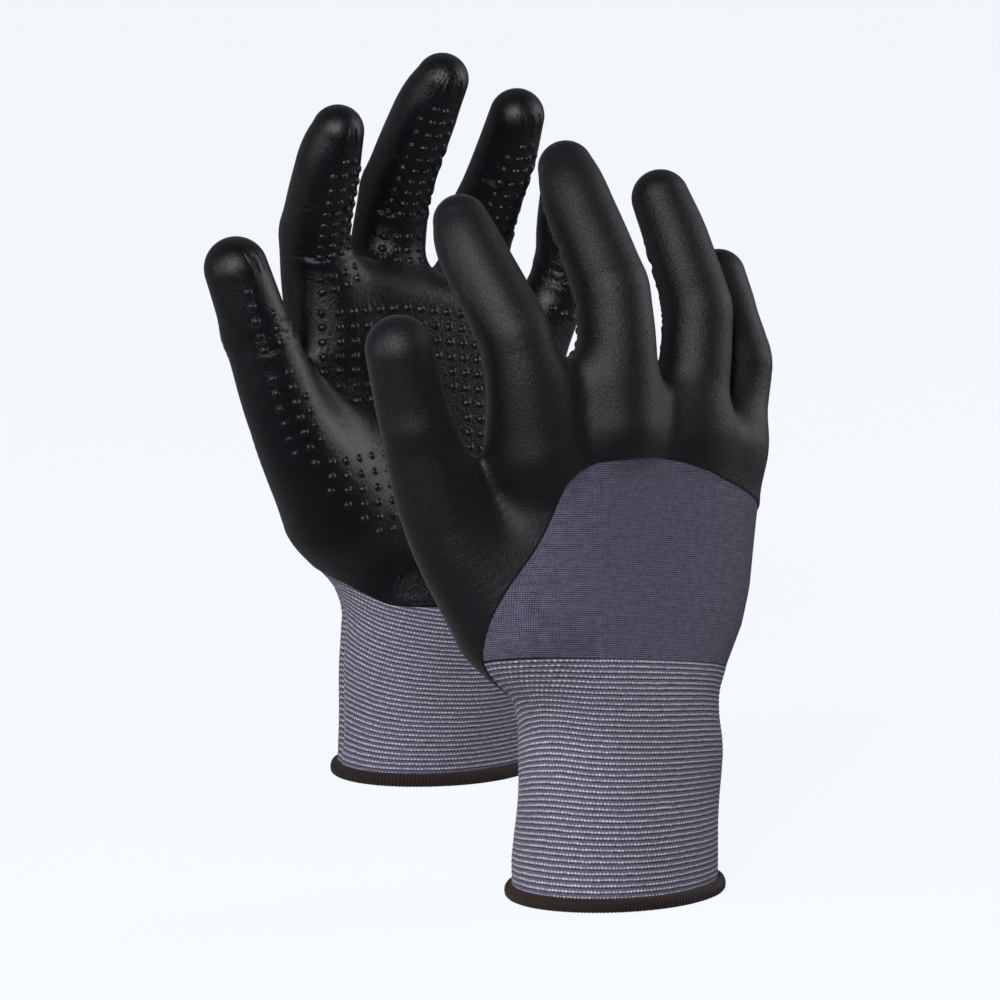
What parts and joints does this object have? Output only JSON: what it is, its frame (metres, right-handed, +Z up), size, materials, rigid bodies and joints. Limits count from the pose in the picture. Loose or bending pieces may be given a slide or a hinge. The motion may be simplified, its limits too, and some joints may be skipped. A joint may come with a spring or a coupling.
{
  "type": "work gloves",
  "caption": "Pair of seamless knit work gloves with a three-quarter foam dip, dotted palm, striped elastic cuff and overlocked hem, standing on their cuffs.",
  "frame": {"origin": "centre of the pair's box at floor level", "axes": "+Z up from the floor; -Y towards the viewer, with the right glove in front and the left glove behind"},
  "size_m": [0.1842, 0.2934, 0.2465],
  "materials": {
    "right_hem": "overlocked polyester thread",
    "right_cuff": "ribbed elastic knit, pale stripes on grey",
    "right_liner": "fine seamless knit",
    "right_coating": "matt foam nitrile",
    "right_index_knuckle": "matt foam nitrile",
    "right_middle_knuckle": "matt foam nitrile",
    "right_ring_knuckle": "matt foam nitrile",
    "right_little_knuckle": "matt foam nitrile",
    "right_thumb_knuckle": "matt foam nitrile",
    "right_index_finger": "matt foam nitrile",
    "right_middle_finger": "matt foam nitrile",
    "right_ring_finger": "matt foam nitrile",
    "right_little_finger": "matt foam nitrile",
    "right_thumb_finger": "matt foam nitrile",
    "left_hem": "overlocked polyester thread",
    "left_cuff": "ribbed elastic knit, pale stripes on grey",
    "left_liner": "fine seamless knit",
    "left_coating": "matt foam nitrile",
    "left_index_knuckle": "matt foam nitrile",
    "left_middle_knuckle": "matt foam nitrile",
    "left_ring_knuckle": "matt foam nitrile",
    "left_little_knuckle": "matt foam nitrile",
    "left_thumb_knuckle": "matt foam nitrile",
    "left_index_finger": "matt foam nitrile",
    "left_middle_finger": "matt foam nitrile",
    "left_ring_finger": "matt foam nitrile",
    "left_little_finger": "matt foam nitrile",
    "left_thumb_finger": "matt foam nitrile"
  },
  "bodies": {
    "right_glove": {"right_hem": "right_hem", "right_cuff": "right_cuff", "right_liner": "right_liner", "right_coating": "right_coating", "right_index_knuckle": "right_index_knuckle", "right_middle_knuckle": "right_middle_knuckle", "right_ring_knuckle": "right_ring_knuckle", "right_little_knuckle": "right_little_knuckle", "right_thumb_knuckle": "right_thumb_knuckle"},
    "right_index": {"right_index_finger": "right_index_finger"},
    "right_middle": {"right_middle_finger": "right_middle_finger"},
    "right_ring": {"right_ring_finger": "right_ring_finger"},
    "right_little": {"right_little_finger": "right_little_finger"},
    "right_thumb": {"right_thumb_finger": "right_thumb_finger"},
    "left_glove": {"left_hem": "left_hem", "left_cuff": "left_cuff", "left_liner": "left_liner", "left_coating": "left_coating", "left_index_knuckle": "left_index_knuckle", "left_middle_knuckle": "left_middle_knuckle", "left_ring_knuckle": "left_ring_knuckle", "left_little_knuckle": "left_little_knuckle", "left_thumb_knuckle": "left_thumb_knuckle"},
    "left_index": {"left_index_finger": "left_index_finger"},
    "left_middle": {"left_middle_finger": "left_middle_finger"},
    "left_ring": {"left_ring_finger": "left_ring_finger"},
    "left_little": {"left_little_finger": "left_little_finger"},
    "left_thumb": {"left_thumb_finger": "left_thumb_finger"}
  },
  "joints": [
    {"name": "pair_apart", "type": "slide", "parent": "right_glove", "child": "left_glove", "axis": [0, 1, 0], "range_m": [0, 0.15]},
    {"name": "right_index_bend", "type": "hinge", "parent": "right_glove", "child": "right_index", "pos_m": [0.00932, -0.12183, 0.18637], "axis": [-0.8026, -0.562, -0.1999], "range_deg": [-15, 50], "stiffness_Nm_per_rad": 0.02, "deforming": ["right_index_knuckle"]},
    {"name": "right_middle_bend", "type": "hinge", "parent": "right_glove", "child": "right_middle", "pos_m": [0.04026, -0.10438, 0.19758], "axis": [-0.8191, -0.5736, -0.0028], "range_deg": [-15, 50], "stiffness_Nm_per_rad": 0.02, "deforming": ["right_middle_knuckle"]},
    {"name": "right_ring_bend", "type": "hinge", "parent": "right_glove", "child": "right_ring", "pos_m": [0.06784, -0.08268, 0.18778], "axis": [-0.8151, -0.5708, 0.0988], "range_deg": [-15, 50], "stiffness_Nm_per_rad": 0.02, "deforming": ["right_ring_knuckle"]},
    {"name": "right_little_bend", "type": "hinge", "parent": "right_glove", "child": "right_little", "pos_m": [0.08193, -0.0597, 0.16735], "axis": [-0.8179, -0.5727, 0.055], "range_deg": [-15, 50], "stiffness_Nm_per_rad": 0.02, "deforming": ["right_little_knuckle"]},
    {"name": "right_thumb_bend", "type": "hinge", "parent": "right_glove", "child": "right_thumb", "pos_m": [-0.02097, -0.13099, 0.15946], "axis": [-0.9614, -0.0762, -0.2642], "range_deg": [-10, 45], "stiffness_Nm_per_rad": 0.02, "deforming": ["right_thumb_knuckle"]},
    {"name": "left_index_bend", "type": "hinge", "parent": "left_glove", "child": "left_index", "pos_m": [-0.05589, 0.08746, 0.18649], "axis": [0.8037, 0.5628, 0.1932], "range_deg": [-15, 50], "stiffness_Nm_per_rad": 0.02, "deforming": ["left_index_knuckle"]},
    {"name": "left_middle_bend", "type": "hinge", "parent": "left_glove", "child": "left_middle", "pos_m": [-0.02891, 0.11057, 0.19771], "axis": [0.8191, 0.5736, 0.0027], "range_deg": [-15, 50], "stiffness_Nm_per_rad": 0.02, "deforming": ["left_middle_knuckle"]},
    {"name": "left_ring_bend", "type": "hinge", "parent": "left_glove", "child": "left_ring", "pos_m": [0.00091, 0.12907, 0.18781], "axis": [0.8152, 0.5708, -0.0976], "range_deg": [-15, 50], "stiffness_Nm_per_rad": 0.02, "deforming": ["left_ring_knuckle"]},
    {"name": "left_little_bend", "type": "hinge", "parent": "left_glove", "child": "left_little", "pos_m": [0.02732, 0.13444, 0.16735], "axis": [0.8179, 0.5727, -0.055], "range_deg": [-15, 50], "stiffness_Nm_per_rad": 0.02, "deforming": ["left_little_knuckle"]},
    {"name": "left_thumb_bend", "type": "hinge", "parent": "left_glove", "child": "left_thumb", "pos_m": [-0.07486, 0.06213, 0.15754], "axis": [0.3978, 0.8715, 0.2866], "range_deg": [-10, 45], "stiffness_Nm_per_rad": 0.02, "deforming": ["left_thumb_knuckle"]}
  ]
}
